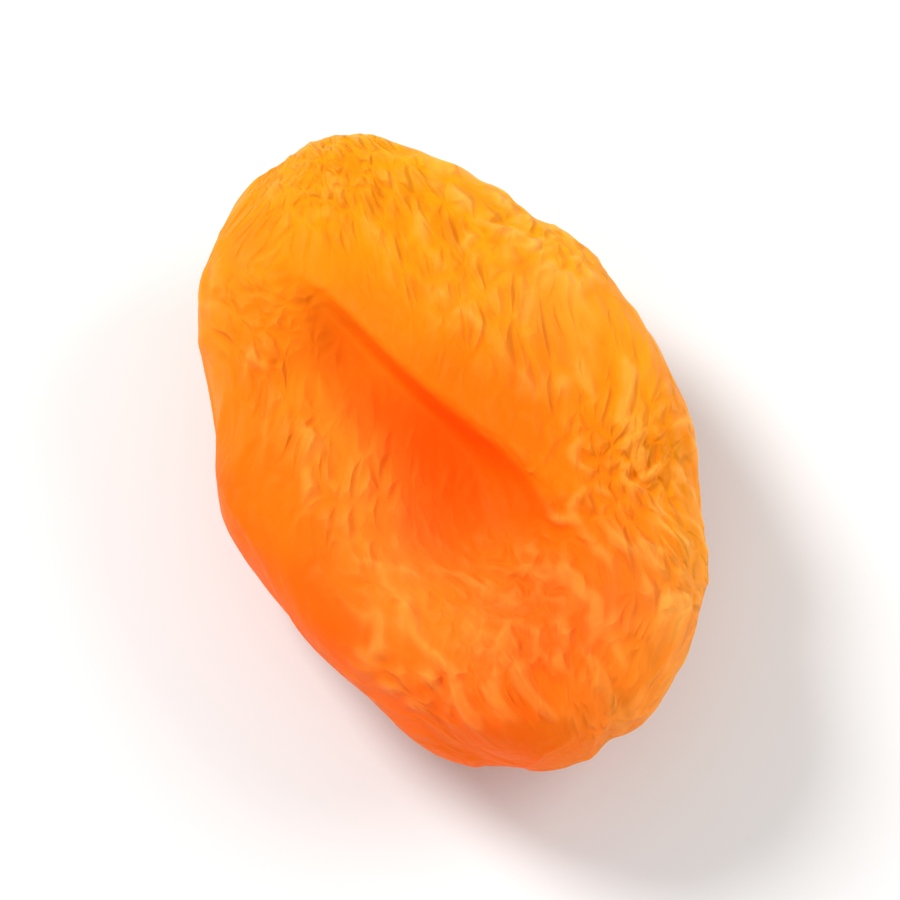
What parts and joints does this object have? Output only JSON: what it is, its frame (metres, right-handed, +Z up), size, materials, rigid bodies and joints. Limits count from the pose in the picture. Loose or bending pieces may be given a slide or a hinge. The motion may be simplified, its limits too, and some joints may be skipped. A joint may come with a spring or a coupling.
{
  "type": "dried apricot",
  "caption": "Whole dried apricot, stoned and flattened: an oval, wrinkled fruit with a slanting hollow under a rolled lip, lying on its back.",
  "frame": {"origin": "middle of the footprint, on the surface it lies on", "axes": "+X along the fruit from the stem end to the tip, +Y across towards the rolled lip, +Z up out of the hollow face"},
  "size_m": [0.042, 0.0276, 0.0142],
  "materials": {
    "dried_flesh": "satin, translucent orange, finely wrinkled"
  },
  "bodies": {
    "root": {"apricot": "dried_flesh"}
  },
  "joints": []
}
